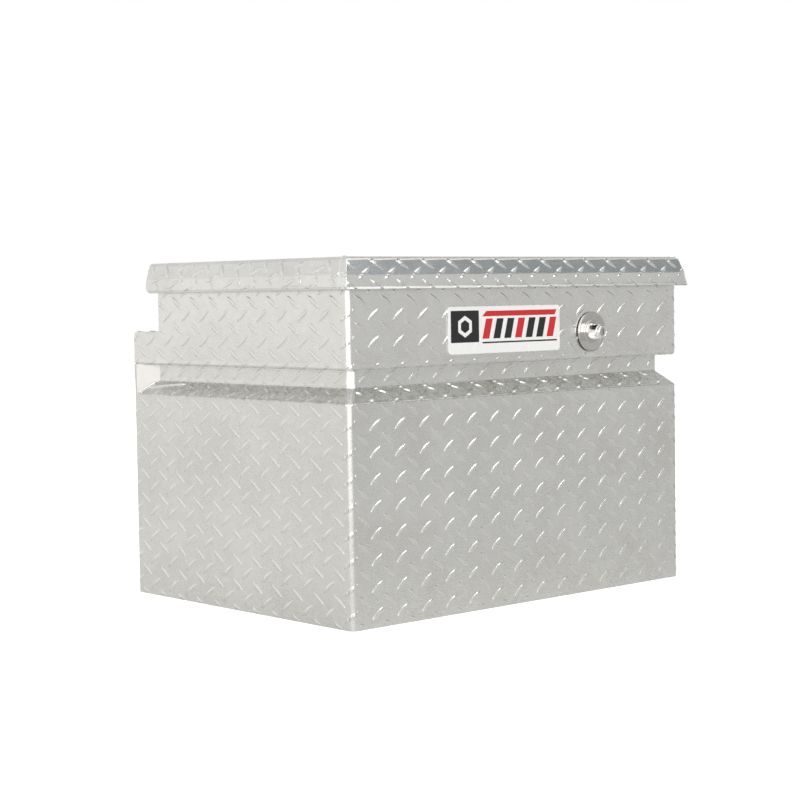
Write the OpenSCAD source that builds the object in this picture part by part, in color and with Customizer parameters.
// Truck tool box: a tread-plate chest with a recessed channel round its waist, a rear step,
// a hinged lid on two gas struts, and a push-button slam latch with a key lock.
// Origin: centre of the chest's underside. +X right along the front, +Y to the rear, +Z up.

/* [Chest] */
// Width of the chest, left to right
box_w = 618; // [520:2:700]
// Depth of the chest, front to rear
box_d = 461; // [420:5:520]
// Height of the lower walls, up to the channel's outer fold
lower_h = 279; // [200:5:320]
// Tread plate thickness
sheet = 2.5; // [2:0.5:3]
// Outer bend radius of the chest's upright corners
corner_r = 7; // [6:0.5:9]

/* [Waist channel] */
// Depth of the channel from the wall's face
channel_depth = 18.8; // [14:0.2:22]
// Height of the channel's upright inner wall
channel_wall = 23.6; // [22:0.2:30]
// Length of the slanted plate that closes each rear end, along the wall
channel_end_run = 30; // [20:5:40]

/* [Upper band and rear step] */
// Height of the upper band's rim above the ground
rim_z = 440; // [439:0.5:441]
// Height of the rear step's shelf
step_z = 366; // [355:1:375]
// Depth of the rear step
step_d = 60.5; // [50:0.5:64]
// Outer bend radius of the step's edge
step_r = 6; // [4:0.5:8]

/* [Lid] */
// Height of the lid's top face
lid_top_z = 460; // [459.5:0.1:460.5]
// Height of the lid skirt's lower edge
skirt_z = 420; // [418:0.5:421]
// Overhang of the skirt's lower edge beyond the wall
skirt_flare = 11; // [9:0.5:14]
// Overhang the skirt would have at the lid's top face, without its bend
skirt_root = 1.28; // [1:0.1:2]
// Outer bend radius between the lid's top and its skirt
lid_bend_r = 6; // [4:0.5:7]
// Furthest angle the lid opens to
lid_open_deg = 75; // [60:1:75]

/* [Lock] */
// Distance of the lock to the right of the chest's middle
lock_x = 127; // [100:1:140]
// Height of the lock's axis
lock_z = 357.5; // [355:0.5:360]
// Outer diameter of the bezel
bezel_dia = 55; // [50:1:60]
// Diameter of the push button at its root
button_dia = 25; // [22:0.5:26]
// Diameter of the push button at its tip
button_tip_dia = 17; // [15:0.5:19]
// Travel of the push button
button_travel = 8; // [6:0.5:8]

/* [Gas struts] */
// Distance of each strut's pins from the hinge axis
strut_reach = 120; // [118:0.5:121]
// Distance of the struts' plane from the chest's middle
strut_x = 268; // [264:1:269]
// Outer radius of the strut's tube
tube_r = 9; // [7:0.5:9]
// Radius of the strut's rod
rod_r = 4; // [3:0.5:5]

/* [Name plate] */
// Width of the plate
plate_w = 206; // [160:1:210]
// Height of the plate
plate_h = 61; // [40:1:62]
// Height of the plate's centre
plate_z = 365; // [355:1:370]
// Distance of the plate's centre to the left of the chest's middle
plate_off = 39; // [20:1:60]

/* [Fasteners] */
// Diameter of the mounting holes in the floor
mount_hole_dia = 10.5; // [8:0.5:12.5]
// Spacing of the mounting holes along the width
mount_span_x = 460; // [380:10:480]
// Spacing of the mounting holes along the depth
mount_span_y = 320; // [260:10:340]

/* [Hidden] */
$fn = 48;

eps = 0.01;
half_w = box_w / 2;
front_y = -box_d / 2;
rear_y = box_d / 2;
riser_y = rear_y - step_d;              // rear face of the upper band
channel_in_z = lower_h + channel_depth; // inner fold of the 45 degree ledge
band_z = channel_in_z + channel_wall;   // lower edge of the upper band
pan_z = lid_top_z - 10;                 // underside of the lid's inner pan
pan_t = 1.5;
flange_y = riser_y + 15;                // rear face of the lid's rear flange

// hinge: knuckles of two leaves share one pin
hinge_x0 = -280;
knuckle_len = 40;
knuckle_count = 14;
knuckle_gap = 0.5;
knuckle_r = 5.95;
leaf_t = 1.7;
pin_r = 2.5;
run_gap = 0.05;
hinge_y = riser_y + 6.25;
hinge_z = 425;
leaf_z = hinge_z + 5;                   // both leaves stand above the knuckles

// rim rail and seal, measured inwards from the wall's face
rail_t = 1.5;
seal_off = 9;
lip_z = rim_z + 1;
rail_z = rim_z - 8;
bulb_r = 4.3;
bulb_z = pan_z - 0.3 - bulb_r;
clip_half = 3;
seal_turn = 10;

// struts: both pins lie strut_reach from the hinge axis, so the strut turns half as far as
// the lid does
strut_rest = 150 - lid_open_deg;        // angle between the two pins, seen from the hinge
strut_top = [hinge_y - strut_reach, hinge_z];
strut_low = [hinge_y - strut_reach * cos(strut_rest), hinge_z - strut_reach * sin(strut_rest)];
strut_tilt = atan2(strut_low[1] - strut_top[1], strut_low[0] - strut_top[0]);
strut_len = 2 * strut_reach * sin(strut_rest / 2);
strut_stroke = 2 * strut_reach * sin(75) - strut_len;
tube_start = 13;
tube_end = tube_start + strut_stroke + 20.3;
gland_len = 7;
piston_len = 7;
piston_at = tube_start + 4.5;
ball_r = 5;
ball_gap = 0.12;
socket_r = 8.5;
socket_half = 6;
neck_r = 3.2;
bracket_t = 3;

// lock and latch, along Y from the front face
bezel_t = 5;
gasket_t = 1.5;
nose_len = 18;
sleeve_r = 16;
sleeve_back = front_y + 30.5;
button_back = front_y + 36;
plug_r = 5.5;
dog_pocket_r = 10;
dog_pocket = 5;
bolt_y = button_back + 0.5;             // front face of the latch plate
bolt_t = 4;
nose_z0 = 384;
nose_z1 = 394;
striker_y = front_y + 24.5;
striker_t = 3;
housing_half = 26;
housing_z0 = 336;
housing_z1 = 406;
housing_back = front_y + 66;
housing_t = 2;
guide_r = 4;
guide_z = 372;

function mirror_sign(side) = side == "left" ? -1 : 1;

// Footprint of the chest, shrunk by inset, with its two front corners rounded.
module footprint(inset = 0) {
    r = max(corner_r - inset, 0.5);
    x = half_w - inset;
    y = front_y + inset;
    translate([-x, y + r]) square([2 * x, rear_y - y - r]);
    translate([-x + r, y]) square([2 * (x - r), r + 1]);
    for (s = [-1, 1]) translate([s * (x - r), y + r]) circle(r);
}

// Three walls of one sheet bent round the two front corners.
module wrapped_sheet(z0, z1) {
    translate([0, 0, z0]) linear_extrude(z1 - z0) difference() {
        footprint();
        footprint(sheet);
        translate([-half_w + sheet, rear_y - 5]) square([box_w - 2 * sheet, 10]);
    }
}

// A profile drawn as [inward, up] runs along the front, the left or the right wall.
module along_front() {
    translate([-half_w, front_y, 0]) rotate([90, 0, 90]) linear_extrude(box_w) children();
}
module along_left(y_end) {
    translate([-half_w, y_end, 0]) rotate([90, 0, 0]) linear_extrude(y_end - front_y) children();
}

// Plan areas that meet on the 45 degree mitres of the front corners.
module front_area(reach = 60) {
    polygon([[-half_w, front_y], [half_w, front_y], [half_w - reach, front_y + reach],
             [-half_w + reach, front_y + reach]]);
}
module left_area(y_end, reach = 60) {
    polygon([[-half_w, front_y], [-half_w + reach, front_y + reach], [-half_w + reach, y_end],
             [-half_w, y_end]]);
}

// ---------------------------------------------------------------- chest

module lower_wrap() {
    color("gainsboro") wrapped_sheet(0, lower_h);
}

// The channel: slanted ledge, upright wall, level underside of the band.
module channel_profile() {
    back = channel_depth + sheet;
    fold = lower_h - sheet * sqrt(2);
    polygon([[0, lower_h], [channel_depth, channel_in_z], [channel_depth, band_z],
             [sheet, band_z], [sheet, band_z + sheet], [back, band_z + sheet],
             [back, fold + back], [sheet, fold + sheet], [sheet, lower_h]]);
}
// Room for the channel: the whole footprint between the walls, inside them elsewhere.
module channel_room() {
    translate([0, 0, lower_h]) linear_extrude(band_z - lower_h) footprint();
    linear_extrude(rim_z) footprint(sheet);
}
module channel_front() {
    color("silver") intersection() {
        along_front() channel_profile();
        linear_extrude(rim_z) front_area();
        channel_room();
    }
}
module channel_side() {
    intersection() {
        along_left(rear_y - sheet) channel_profile();
        linear_extrude(rim_z) left_area(rear_y - sheet);
        channel_room();
    }
}
module channel_left() { color("silver") channel_side(); }
module channel_right() { color("silver") mirror([1, 0, 0]) channel_side(); }

// Smooth slanted plate that closes the channel before the rear edge.
module channel_end() {
    inner_x = -half_w + channel_depth;
    y0 = rear_y - channel_end_run;
    difference() {
        translate([0, 0, lower_h]) linear_extrude(band_z - lower_h) polygon([
            [-half_w, rear_y], [-half_w, rear_y - 4], [inner_x, y0 - 4], [inner_x, y0],
            [-half_w + sheet, rear_y - sheet], [-half_w + sheet, rear_y]]);
        along_left(rear_y + 1) polygon([[-1, lower_h - 1], [-1, lower_h + 1 - 2 * eps],
            [0, lower_h], [channel_depth + 1, channel_in_z + 1], [channel_depth + 1, lower_h - 1]]);
    }
}
module channel_end_left() { color("whitesmoke") channel_end(); }
module channel_end_right() { color("whitesmoke") mirror([1, 0, 0]) channel_end(); }

// Side outline of the upper band, with the rear step's rounded edge, as [y, z].
module band_outline() {
    translate([front_y - 1, band_z]) square([riser_y - front_y + 1, rim_z - band_z]);
    translate([riser_y - 1, band_z]) square([step_d + 1 - step_r, step_z - band_z]);
    translate([riser_y, band_z]) square([step_d, step_z - step_r - band_z]);
    translate([rear_y - step_r, step_z - step_r]) circle(step_r);
}
module upper_wrap() {
    color("gainsboro") difference() {
        intersection() {
            wrapped_sheet(band_z, rim_z);
            translate([-half_w - 1, 0, 0]) rotate([90, 0, 90]) linear_extrude(box_w + 2)
                band_outline();
        }
        at_lock() translate([0, 0, -sheet - 1]) cylinder(r = sleeve_r + 0.05, h = sheet + 2);
    }
}

// Lower rear wall and step shelf, one sheet with a rounded bend, as [y, z].
module rear_profile() {
    inner_r = step_r - sheet;
    translate([rear_y - sheet, 0]) square([sheet, step_z - step_r]);
    translate([riser_y, step_z - sheet]) square([step_d - step_r, sheet]);
    translate([rear_y - step_r, step_z - step_r]) intersection() {
        difference() {
            circle(step_r);
            circle(inner_r);
        }
        square(step_r + 1);
    }
}
module rear_wall() {
    w = half_w - sheet;
    color("gainsboro") translate([-w, 0, 0]) rotate([90, 0, 90]) linear_extrude(2 * w)
        rear_profile();
}
module rear_riser() {
    w = half_w - sheet;
    color("gainsboro") translate([-w, riser_y - sheet, step_z - sheet])
        cube([2 * w, sheet, rim_z - step_z + sheet]);
}

module mount_hole_places() {
    for (x = [-1, 1], y = [-1, 1])
        translate([x * mount_span_x / 2, y * mount_span_y / 2, 0]) children();
}
module bottom_plate() {
    color("silver") difference() {
        linear_extrude(sheet) intersection() {
            footprint(sheet + 0.05);
            translate([-half_w, front_y]) square([box_w, box_d - sheet]);
        }
        mount_hole_places() translate([0, 0, -1]) cylinder(d = mount_hole_dia, h = sheet + 2);
    }
}
module floor_doublers() {
    pad = 60;
    thick = 3;
    color("gray") mount_hole_places() translate([0, 0, sheet]) difference() {
        linear_extrude(thick) rounded_rect(pad, pad, 8);
        translate([0, 0, -1]) cylinder(d = mount_hole_dia, h = thick + 2);
    }
}

module rounded_rect(w, h, r) {
    square([w - 2 * r, h], center = true);
    square([w, h - 2 * r], center = true);
    for (x = [-1, 1], y = [-1, 1]) translate([x * (w / 2 - r), y * (h / 2 - r)]) circle(r);
}

// ---------------------------------------------------------------- rim and seal

// Rail section as [inward, up]: leg on the wall, gutter, upstanding lip for the seal.
module rail_profile() {
    lip = seal_off + rail_t / 2;
    polygon([[sheet, rail_z - 14], [sheet + rail_t, rail_z - 14], [sheet + rail_t, rail_z - rail_t],
             [lip, rail_z - rail_t], [lip, lip_z], [lip - rail_t, lip_z], [lip - rail_t, rail_z],
             [sheet, rail_z]]);
}
module inside_walls() {
    translate([0, 0, rail_z - 20]) linear_extrude(60) children();
}
// The lip stops before each corner, where the seal turns round it in a bend.
module lip_gaps() {
    reach = seal_off + seal_turn + 0.5;
    for (x = [-half_w, half_w - reach], y = [front_y, riser_y - reach])
        translate([x, y, rail_z + 2.5]) cube([reach, reach, 40]);
}
module rim_front() {
    color("silver") difference() {
        intersection() {
            along_front() rail_profile();
            inside_walls() intersection() {
                front_area();
                footprint(sheet + 0.05);
            }
        }
        lip_gaps();
    }
}
module rim_side() {
    difference() {
        intersection() {
            along_left(riser_y) rail_profile();
            inside_walls() difference() {
                intersection() {
                    left_area(riser_y - sheet);
                    footprint(sheet + 0.05);
                }
                polygon([[-half_w, riser_y], [-half_w, riser_y - eps],
                         [-half_w + 40, riser_y - 40], [-half_w + 40, riser_y]]);
            }
        }
        lip_gaps();
    }
}
module rim_left() { color("silver") rim_side(); }
module rim_right() { color("silver") mirror([1, 0, 0]) rim_side(); }
module rim_rear() {
    color("silver") difference() {
        intersection() {
            translate([half_w, riser_y, 0]) rotate([90, 0, -90]) linear_extrude(box_w)
                rail_profile();
            inside_walls() intersection() {
                polygon([[-half_w, riser_y], [-half_w + 40, riser_y - 40],
                         [half_w - 40, riser_y - 40], [half_w, riser_y]]);
                footprint(sheet + 0.05);
            }
        }
        lip_gaps();
    }
}
// Gussets under the rail; the rear ones are short, to leave the struts room.
module corner_gussets() {
    in_x = half_w - sheet - rail_t - 0.1;
    front_in = front_y + sheet + rail_t + 0.1;
    rear_in = riser_y - sheet - rail_t - 0.1;
    color("silver") for (s = [-1, 1], c = [[front_in, 1, 55], [rear_in, -1, 19]])
        translate([0, 0, rail_z - rail_t - 2.1]) linear_extrude(2)
            polygon([[s * (in_x - 3), c[0]], [s * (in_x - c[2]), c[0]],
                     [s * in_x, c[0] + c[1] * c[2]], [s * in_x, c[0] + c[1] * 3]]);
}

// A section drawn as [outward, up] swept round a rectangle with rounded corners.
module swept_loop(x0, x1, y0, y1, r) {
    for (s = [[x0 + r, y0, 0, x1 - x0 - 2 * r], [x1, y0 + r, 90, y1 - y0 - 2 * r],
              [x1 - r, y1, 180, x1 - x0 - 2 * r], [x0, y1 - r, 270, y1 - y0 - 2 * r]])
        translate([s[0], s[1], 0]) rotate([0, 0, s[2]]) rotate([90, 0, 90])
            linear_extrude(s[3]) mirror([1, 0]) children();
    for (c = [[x1 - r, y0 + r, 270], [x1 - r, y1 - r, 0], [x0 + r, y1 - r, 90],
              [x0 + r, y0 + r, 180]])
        translate([c[0], c[1], 0]) rotate([0, 0, c[2]]) rotate_extrude(angle = 90)
            translate([r, 0]) children();
}
module seal_profile() {
    slot = rail_t / 2 + 0.1;
    translate([0, bulb_z]) circle(bulb_r);
    difference() {
        translate([-clip_half, rail_z + 3]) square([2 * clip_half, bulb_z - rail_z - 3]);
        translate([-slot, rail_z]) square([2 * slot, lip_z + 0.1 - rail_z]);
    }
}
module weather_seal() {
    color("dimgray") swept_loop(-half_w + seal_off, half_w - seal_off, front_y + seal_off,
                                riser_y - seal_off, seal_turn) seal_profile();
}

// ---------------------------------------------------------------- hinge

module knuckles(first, bore) {
    for (i = [first : 2 : knuckle_count - 1])
        translate([hinge_x0 + i * knuckle_len + knuckle_gap / 2, hinge_y, hinge_z])
            rotate([0, 90, 0]) difference() {
                cylinder(r = knuckle_r, h = knuckle_len - knuckle_gap);
                translate([0, 0, -1]) cylinder(r = bore, h = knuckle_len + 2);
            }
}
module leaf(first, y0, top, rivet_z, bore) {
    difference() {
        union() {
            translate([hinge_x0, y0, leaf_z])
                cube([knuckle_count * knuckle_len, leaf_t, top - leaf_z]);
            for (i = [first : 2 : knuckle_count - 1])
                translate([hinge_x0 + i * knuckle_len + knuckle_gap / 2, y0, hinge_z])
                    cube([knuckle_len - knuckle_gap, leaf_t, leaf_z - hinge_z + 1]);
            knuckles(first, bore);
        }
        for (i = [first : 2 : knuckle_count - 1])
            translate([hinge_x0 + i * knuckle_len - 1, hinge_y, hinge_z]) rotate([0, 90, 0])
                cylinder(r = bore, h = knuckle_len + 2);
        rivet_places(y0 - 1, rivet_z) cylinder(r = 2.1, h = leaf_t + 2);
    }
}
module rivet_places(y, z) {
    for (i = [0 : knuckle_count / 2 - 1])
        translate([hinge_x0 + knuckle_len + i * 2 * knuckle_len, y, z]) rotate([-90, 0, 0])
            children();
}
tub_leaf_y = riser_y;
lid_leaf_y = flange_y - sheet - leaf_t;
tub_rivet_z = leaf_z + 5;
lid_rivet_z = leaf_z + 10;
module hinge_leaf_tub() {
    color("darkgray") leaf(0, tub_leaf_y, rim_z, tub_rivet_z, pin_r + 0.02);
}
module hinge_leaf_lid() {
    color("darkgray") leaf(1, lid_leaf_y, pan_z - 2, lid_rivet_z, pin_r + run_gap);
}
module hinge_pin() {
    span = knuckle_count * knuckle_len;
    color("lightgray") translate([hinge_x0 - 3, hinge_y, hinge_z]) rotate([0, 90, 0])
        union() {
            cylinder(r = pin_r, h = span + 6);
            cylinder(r = pin_r + 1, h = 2);
            translate([0, 0, span + 4]) cylinder(r = pin_r + 1, h = 2);
        }
}
// Rivets stand only on the leaf: head outside, shank within the leaf's own hole.
module rivet(head_r, shank_len) {
    translate([0, 0, shank_len]) cylinder(r1 = head_r, r2 = head_r * 0.6, h = 1.4);
    cylinder(r = 2, h = shank_len);
}
module hinge_rivets_tub() {
    color("lightgray") rivet_places(tub_leaf_y, tub_rivet_z) rivet(3.8, leaf_t);
}
module hinge_rivets_lid() {
    color("lightgray") rivet_places(flange_y, lid_rivet_z) mirror([0, 0, 1])
        translate([0, 0, -1.4]) {
            cylinder(r1 = 2.6, r2 = 4, h = 1.4);
            cylinder(r = 2, h = sheet + leaf_t + 1.4);
            translate([0, 0, sheet + leaf_t + 1.4]) cylinder(r1 = 3.6, r2 = 2.6, h = 1.2);
        }
}

// ---------------------------------------------------------------- lid

// The skirt leans out in one straight line below the lid's bend.
skirt_lean = atan2(skirt_flare - skirt_root, lid_top_z - skirt_z);
bend_turn = 90 - skirt_lean;
bend_arm = lid_bend_r * tan((90 - skirt_lean) / 2);
bend_c = [skirt_root - bend_arm, lid_top_z - lid_bend_r];
function bend_pt(r, a) = [bend_c[0] + r * sin(a), bend_c[1] + r * cos(a)];
bend_steps = 8;
top_inset = 5;                          // the flat top starts this far inside the wall's face
inner_shift = sheet / cos(skirt_lean);
// Skirt section as [outward, up], from the flat top over the bend to the lower edge.
module skirt_profile() {
    outer = [for (i = [0 : bend_steps]) bend_pt(lid_bend_r, bend_turn * i / bend_steps)];
    inner = [for (i = [bend_steps : -1 : 0])
        bend_pt(lid_bend_r - sheet, bend_turn * i / bend_steps)];
    polygon(concat([[-top_inset, lid_top_z]], outer, [[skirt_flare, skirt_z]],
        [[skirt_flare - inner_shift, skirt_z]], inner, [[-top_inset, lid_top_z - sheet]]));
}
// Closed outline of the lid seen from the rear, as [x, z].
module flange_outline() {
    outer = [for (i = [0 : bend_steps]) bend_pt(lid_bend_r, bend_turn * i / bend_steps)];
    side = concat(outer, [[skirt_flare, skirt_z]]);
    right = [for (p = side) [half_w + p[0], p[1]]];
    left = [for (i = [len(side) - 1 : -1 : 0]) [-half_w - side[i][0], side[i][1]]];
    polygon(concat(right, left));
}
// Side outline of the lid, with its rounded lower rear corner, as [y, z].
module lid_outline() {
    r = 12;
    far = front_y - 2 * skirt_flare;
    steps = 6;
    arc = [for (i = [0 : steps]) let (a = 90 * i / steps)
        [flange_y - r + r * sin(a), skirt_z + r - r * cos(a)]];
    polygon(concat([[far, skirt_z - 1], [arc[0][0], skirt_z - 1]], arc,
        [[flange_y + 1, arc[steps][1]], [flange_y + 1, lid_top_z + 1], [far, lid_top_z + 1]]));
}
module lid_skin() {
    x = half_w - corner_r;
    y = front_y + corner_r;
    color("gainsboro") difference() {
        intersection() {
            lid_shell(x, y);
            translate([-half_w - 30, 0, 0]) rotate([90, 0, 90]) linear_extrude(box_w + 60)
                lid_outline();
        }
        rivet_places(flange_y - sheet - 1, lid_rivet_z) cylinder(r = 2.05, h = sheet + 2);
    }
}
module lid_shell(x, y) {
    translate([0, 0, lid_top_z - sheet]) linear_extrude(sheet) difference() {
        footprint(top_inset);
        translate([-half_w, flange_y]) square([box_w, box_d]);
    }
    translate([-x, front_y, 0]) rotate([90, 0, 90]) linear_extrude(2 * x)
        mirror([1, 0]) skirt_profile();
    for (s = [0, 1]) mirror([s, 0, 0]) {
        translate([half_w, flange_y, 0]) rotate([90, 0, 0]) linear_extrude(flange_y - y)
            skirt_profile();
        translate([x, y, 0]) rotate([0, 0, 270]) rotate_extrude(angle = 90)
            translate([corner_r, 0]) skirt_profile();
    }
    translate([0, flange_y, 0]) rotate([90, 0, 0]) linear_extrude(sheet) flange_outline();
}
pan_half = half_w - 4;
pan_front = front_y + 4.5;
pan_rear = flange_y - 7;
core_gap = 0.05;
module lid_pan() {
    depth = pan_rear - pan_front;
    color("lightgray") translate([-pan_half, pan_front, pan_z]) difference() {
        cube([2 * pan_half, depth, lid_top_z - sheet - pan_z - core_gap]);
        translate([pan_t, pan_t, pan_t]) cube([2 * (pan_half - pan_t), depth - 2 * pan_t, 20]);
    }
}
module lid_core() {
    lo = pan_t + core_gap;
    color("wheat") translate([-pan_half + lo, pan_front + lo, pan_z + pan_t])
        cube([2 * (pan_half - lo), pan_rear - pan_front - 2 * lo,
              lid_top_z - sheet - pan_z - pan_t - core_gap]);
}
channel_x = 60;
module lid_channels() {
    len = 330;
    drop = 12;
    top_w = 26;
    flange_w = 12;
    w = top_w / 2;
    color("silver") for (s = [-1, 1]) translate([s * channel_x, 140, pan_z])
        rotate([90, 0, 0]) linear_extrude(len) polygon([
            [-w - flange_w, 0], [-w - flange_w, -pan_t], [-w - pan_t, -pan_t], [-w, -drop],
            [w, -drop], [w + pan_t, -pan_t], [w + flange_w, -pan_t], [w + flange_w, 0], [w, 0],
            [w - pan_t, -drop + pan_t], [-w + pan_t, -drop + pan_t], [-w, 0]]);
}
module lid_rivets() {
    color("lightgray") for (s = [-1, 1], side = [-1, 1], i = [0 : 4])
        translate([s * channel_x + side * 20, -172 + i * 74, pan_z - pan_t]) mirror([0, 0, 1])
            cylinder(r1 = 3.4, r2 = 2.2, h = 1.3);
}

// ---------------------------------------------------------------- gas struts

// Places children at a strut pin, local +X towards the chest's outside.
module at_pin(side, pin) {
    s = mirror_sign(side);
    translate([s * strut_x, pin[0], pin[1]]) mirror([s < 0 ? 1 : 0, 0, 0]) children();
}
// Ball outline as [radius, out], from its pole to where its radius falls back to r_end.
function ball_arc(r, r_end) = [for (i = [0 : 12])
    let (a = (180 - asin(r_end / r)) * i / 12) [r * sin(a), -r * cos(a)]];
// Ball and neck are one turned profile, with a hexagon foot.
module ball_stud(reach) {
    rotate([0, 90, 0]) {
        rotate_extrude() polygon(concat(ball_arc(ball_r, neck_r),
            [[neck_r, reach - 2.9], [0, reach - 2.9]]));
        translate([0, 0, reach - 3]) cylinder(r = 6, h = 3, $fn = 6);
    }
}
// Room for a ball, open towards its neck.
module ball_room() {
    rotate([0, 90, 0]) rotate_extrude() polygon(concat(ball_arc(ball_r + ball_gap, 4.4),
        [[4.4, 20], [0, 20]]));
}
wall_plate_x = half_w - channel_depth - sheet - strut_x;
module strut_bracket_tub(side) {
    color("dimgray") at_pin(side, strut_low) translate([wall_plate_x - bracket_t, -22, -9.5])
        difference() {
            cube([bracket_t, 44, 20]);
            for (y = bracket_screw_y) translate([-1, y, 10]) rotate([0, 90, 0])
                cylinder(r = screw_r + 0.05, h = bracket_t + 2);
        }
}
bracket_screw_y = [6, 38];
screw_r = 2.2;
module screw(len) {
    cylinder(r = screw_r, h = len);
    translate([0, 0, len]) difference() {
        cylinder(r1 = 4.2, r2 = 3, h = 2.2);
        translate([0, 0, 0.8]) cylinder(r = 1.6, h = 2, $fn = 6);
    }
}
module bracket_screws() {
    color("lightgray") for (side = ["left", "right"]) at_pin(side, strut_low)
        for (y = bracket_screw_y) translate([wall_plate_x, y - 22, 0.5]) rotate([0, -90, 0])
            screw(bracket_t);
}
module strut_bracket_tub_left() { strut_bracket_tub("left"); }
module strut_bracket_tub_right() { strut_bracket_tub("right"); }
module ball_stud_tub(side) {
    color("silver") at_pin(side, strut_low) ball_stud(wall_plate_x - bracket_t);
}
module ball_stud_tub_left() { ball_stud_tub("left"); }
module ball_stud_tub_right() { ball_stud_tub("right"); }
module strut_bracket_lid(side) {
    inboard = 11;
    drop = pan_z - hinge_z;
    color("dimgray") at_pin(side, strut_top) union() {
        translate([-inboard - bracket_t, -13, -9]) cube([bracket_t, 26, drop + 9]);
        translate([-inboard - 30, -20, drop - bracket_t]) cube([30, 40, bracket_t]);
    }
}
module strut_bracket_lid_left() { strut_bracket_lid("left"); }
module strut_bracket_lid_right() { strut_bracket_lid("right"); }
module ball_stud_lid(side) {
    color("silver") at_pin(side, strut_top) mirror([1, 0, 0]) ball_stud(11);
}
module ball_stud_lid_left() { ball_stud_lid("left"); }
module ball_stud_lid_right() { ball_stud_lid("right"); }

// Local frame of a strut: Z runs from the upper pin to the lower one.
module along_strut(side) {
    at_pin(side, strut_top) rotate([-90 + strut_tilt, 0, 0]) children();
}
module strut_tube(side) {
    wall = 1.5;
    color([0.12, 0.12, 0.13]) along_strut(side) difference() {
        translate([0, 0, tube_start]) cylinder(r = tube_r, h = tube_end - tube_start);
        translate([0, 0, tube_start + 3]) cylinder(r = tube_r - wall, h = tube_end);
    }
}
module strut_gland(side) {
    color("dimgray") along_strut(side) translate([0, 0, tube_end - gland_len]) difference() {
        union() {
            cylinder(r = tube_r - 1.5, h = gland_len);
            translate([0, 0, gland_len]) cylinder(r1 = tube_r, r2 = rod_r + 1.5, h = 2);
        }
        translate([0, 0, -1]) cylinder(r = rod_r + run_gap, h = gland_len + 4);
    }
}
module strut_rod(side) {
    color("gainsboro") along_strut(side) union() {
        translate([0, 0, piston_at]) cylinder(r = rod_r, h = strut_len - 6.6 - piston_at);
        translate([0, 0, piston_at]) cylinder(r = tube_r - 1.5 - 0.08, h = piston_len);
    }
}
module tube_socket(side) {
    color([0.1, 0.1, 0.1]) along_strut(side) difference() {
        union() {
            rotate([0, 90, 0]) cylinder(r = socket_r, h = 2 * socket_half, center = true);
            cylinder(r = 5.5, h = tube_start);
        }
        mirror([1, 0, 0]) ball_room();
    }
}
module rod_socket(side) {
    shank = 16;
    color([0.1, 0.1, 0.1]) along_strut(side) translate([0, 0, strut_len]) difference() {
        union() {
            rotate([0, 90, 0]) cylinder(r = socket_r, h = 2 * socket_half, center = true);
            translate([0, 0, -shank]) cylinder(r = 5.5, h = shank);
        }
        ball_room();
        translate([0, 0, -shank - 1]) cylinder(r = rod_r + 0.01, h = shank - 5.6);
    }
}
module strut_tube_left() { strut_tube("left"); }
module strut_gland_left() { strut_gland("left"); }
module tube_socket_left() { tube_socket("left"); }
module strut_rod_left() { strut_rod("left"); }
module rod_socket_left() { rod_socket("left"); }
module strut_tube_right() { strut_tube("right"); }
module strut_gland_right() { strut_gland("right"); }
module tube_socket_right() { tube_socket("right"); }
module strut_rod_right() { strut_rod("right"); }
module rod_socket_right() { rod_socket("right"); }

// ---------------------------------------------------------------- name plate and lock

module name_plate() {
    thick = 2;
    color("white") translate([-plate_off, front_y, plate_z]) rotate([90, 0, 0])
        linear_extrude(thick) rounded_rect(plate_w, plate_h, 5);
}

// Local frame of the lock: Z points out of the front face.
module at_lock() {
    translate([lock_x, front_y, lock_z]) rotate([90, 0, 0]) children();
}
module lock_gasket() {
    color([0.08, 0.08, 0.08]) at_lock() difference() {
        cylinder(r = bezel_dia / 2 + 2, h = gasket_t);
        translate([0, 0, -1]) cylinder(r = sleeve_r + 0.05, h = gasket_t + 2);
    }
}
// Dished bezel and the threaded sleeve behind it, one turned part, as [radius, out].
module lock_bezel() {
    r = bezel_dia / 2;
    bore = button_dia / 2 + run_gap;
    back = sleeve_back - front_y;
    color("gainsboro") at_lock() rotate_extrude() polygon([
        [bore, -back], [sleeve_r, -back], [sleeve_r, gasket_t], [r, gasket_t],
        [r, gasket_t + 2], [r - 1, gasket_t + 3.2], [r - 3, gasket_t + bezel_t - 1.2],
        [r - 5, gasket_t + bezel_t - 1.8], [bore + 4, gasket_t + bezel_t - 2.6],
        [bore + 1.5, gasket_t + bezel_t - 1.4], [bore, gasket_t + bezel_t - 1.6]]);
}
module lock_nut() {
    thick = 6.5;
    color("silver") at_lock() translate([0, 0, -sheet - thick]) difference() {
        cylinder(r = 24, h = thick, $fn = 6);
        translate([0, 0, -1]) cylinder(r = sleeve_r + 0.05, h = 9);
    }
}
nose_root = gasket_t + bezel_t - 0.5;
module lock_button() {
    back = button_back - front_y;
    r = button_dia / 2;
    tip = button_tip_dia / 2;
    out = nose_root + nose_len;
    color("gainsboro") at_lock() difference() {
        rotate_extrude() polygon([[0, -back], [r, -back], [r, nose_root], [tip, out - 1.6],
            [tip - 0.8, out], [0, out]]);
        translate([0, 0, -back - 1]) cylinder(r = plug_r + run_gap, h = out + back + 2);
        translate([0, 0, -back - 1]) cylinder(r = dog_pocket_r, h = dog_pocket + 1);
    }
}
module key_plug() {
    back = button_back - front_y;
    out = nose_root + nose_len;
    color("lightgray") at_lock() difference() {
        union() {
            translate([0, 0, -back + 1]) cylinder(r = plug_r, h = out + back - 1.6);
            translate([-1.5, 0, -back + 1]) cube([3, 9, 3.2]);
        }
        translate([-0.8, -3.6, out - 12]) cube([1.6, 7.2, 13]);
    }
}
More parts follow.
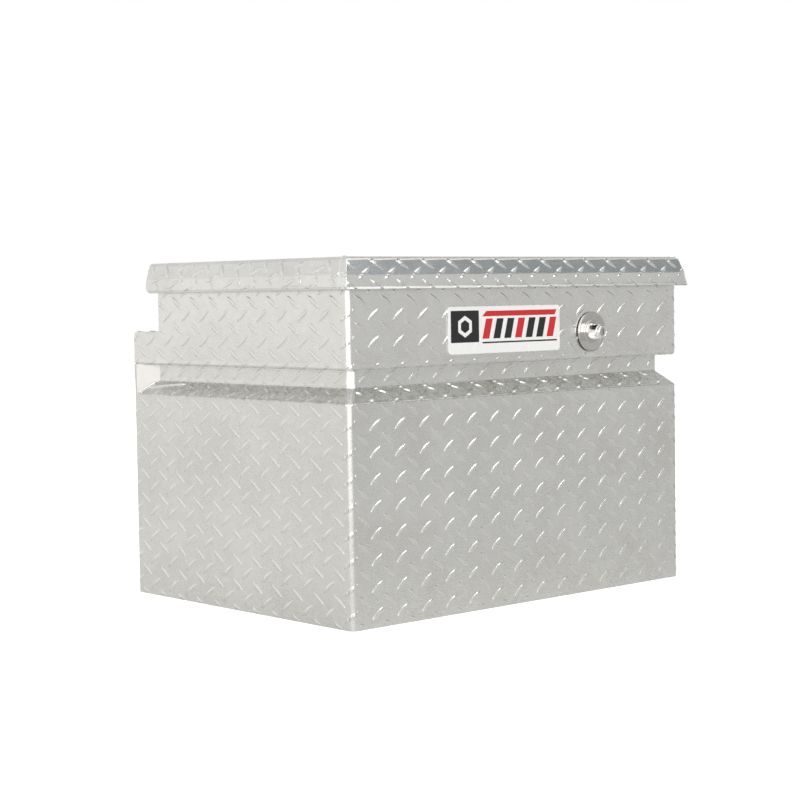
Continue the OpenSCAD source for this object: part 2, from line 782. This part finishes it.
module latch_bolt() {
    half = 10;
    nose_half = 7;
    nose_len_y = 16;
    y1 = bolt_y + bolt_t;
    color("silver") union() {
        translate([lock_x - half, bolt_y, lock_z - 12])
            cube([2 * half, bolt_t, nose_z1 + 2 - lock_z + 12]);
        translate([lock_x - nose_half, 0, 0]) rotate([90, 0, 90])
            linear_extrude(2 * nose_half) polygon([[bolt_y + 1, nose_z0],
                [bolt_y + 1, nose_z1], [bolt_y - 8, nose_z1],
                [bolt_y - nose_len_y, nose_z0 + 2.5], [bolt_y - nose_len_y, nose_z0]]);
        translate([lock_x, y1 - 1, guide_z]) rotate([-90, 0, 0])
            cylinder(r = guide_r, h = housing_back - y1 + 8);
    }
}
module latch_housing() {
    y0 = front_y + sheet;
    tab = 14;
    half = housing_half;
    color("silver") difference() {
        translate([lock_x, 0, housing_z0]) linear_extrude(housing_z1 - housing_z0) polygon([
            [-half - tab, y0], [-half, y0], [-half, housing_back - housing_t],
            [half, housing_back - housing_t], [half, y0], [half + tab, y0],
            [half + tab, y0 + housing_t], [half + housing_t, y0 + housing_t],
            [half + housing_t, housing_back], [-half - housing_t, housing_back],
            [-half - housing_t, y0 + housing_t], [-half - tab, y0 + housing_t]]);
        translate([lock_x, housing_back - housing_t - 1, guide_z]) rotate([-90, 0, 0])
            cylinder(r = guide_r + run_gap, h = housing_t + 2);
    }
}
module latch_rivets() {
    y = front_y + sheet + housing_t;
    color("lightgray") for (s = [-1, 1], z = [housing_z0 + 12, housing_z1 - 12])
        translate([lock_x + s * (housing_half + 9), y, z]) rotate([-90, 0, 0])
            cylinder(r1 = 3.6, r2 = 2.4, h = 1.4);
}
// Coil spring between the latch plate and the housing's back, as a swept wire.
module return_spring() {
    wire = 0.7;
    coil_r = 6.2;
    turns = 6;
    per_turn = 14;
    sides = 6;
    y0 = bolt_y + bolt_t + wire + 0.1;
    y1 = housing_back - housing_t - wire - 0.1;
    rings = turns * per_turn;
    pts = [for (i = [0 : rings], k = [0 : sides - 1])
        let (a = 360 * i / per_turn, b = 360 * k / sides, r = coil_r + wire * cos(b))
        [r * cos(a), y0 + (y1 - y0) * i / rings + wire * sin(b), r * sin(a)]];
    walls = [for (i = [0 : rings - 1], k = [0 : sides - 1])
        [i * sides + k, i * sides + (k + 1) % sides, (i + 1) * sides + (k + 1) % sides,
         (i + 1) * sides + k]];
    caps = [[for (k = [sides - 1 : -1 : 0]) k], [for (k = [0 : sides - 1]) rings * sides + k]];
    color("gray") translate([lock_x, 0, guide_z]) polyhedron(pts, concat(walls, caps));
}
// Plate under the lid with a window for the latch nose.
module striker() {
    half = 16;
    z0 = nose_z0 - 8;
    color("silver") difference() {
        union() {
            translate([lock_x - half, striker_y, z0]) cube([2 * half, striker_t, pan_z - z0]);
            translate([lock_x - half, striker_y, pan_z - striker_t])
                cube([2 * half, 24, striker_t]);
        }
        translate([lock_x - 9, striker_y - 1, nose_z0 - 2])
            cube([18, striker_t + 2, nose_z1 - nose_z0 + 4]);
        striker_screw_places() translate([0, 0, -1]) cylinder(r = screw_r + 0.05, h = striker_t + 2);
    }
}
module striker_screw_places() {
    for (s = [-1, 1]) translate([lock_x + s * 9, striker_y + 14, pan_z - striker_t]) children();
}
module striker_screws() {
    color("lightgray") striker_screw_places() translate([0, 0, striker_t]) mirror([0, 0, 1])
        screw(striker_t);
}

lower_wrap();
channel_front();
channel_left();
channel_right();
upper_wrap();
rear_wall();
rear_riser();
bottom_plate();
channel_end_left();
channel_end_right();
rim_front();
rim_rear();
rim_left();
rim_right();
corner_gussets();
weather_seal();
floor_doublers();
hinge_leaf_tub();
hinge_pin();
hinge_rivets_tub();
strut_bracket_tub_left();
strut_bracket_tub_right();
ball_stud_tub_left();
ball_stud_tub_right();
bracket_screws();
name_plate();
lock_gasket();
lock_bezel();
lock_nut();
latch_housing();
latch_rivets();
return_spring();
lid_skin();
lid_core();
lid_pan();
lid_channels();
lid_rivets();
hinge_leaf_lid();
hinge_rivets_lid();
striker();
striker_screws();
strut_bracket_lid_left();
strut_bracket_lid_right();
ball_stud_lid_left();
ball_stud_lid_right();
strut_tube_left();
strut_gland_left();
tube_socket_left();
strut_rod_left();
rod_socket_left();
strut_tube_right();
strut_gland_right();
tube_socket_right();
strut_rod_right();
rod_socket_right();
lock_button();
key_plug();
latch_bolt();
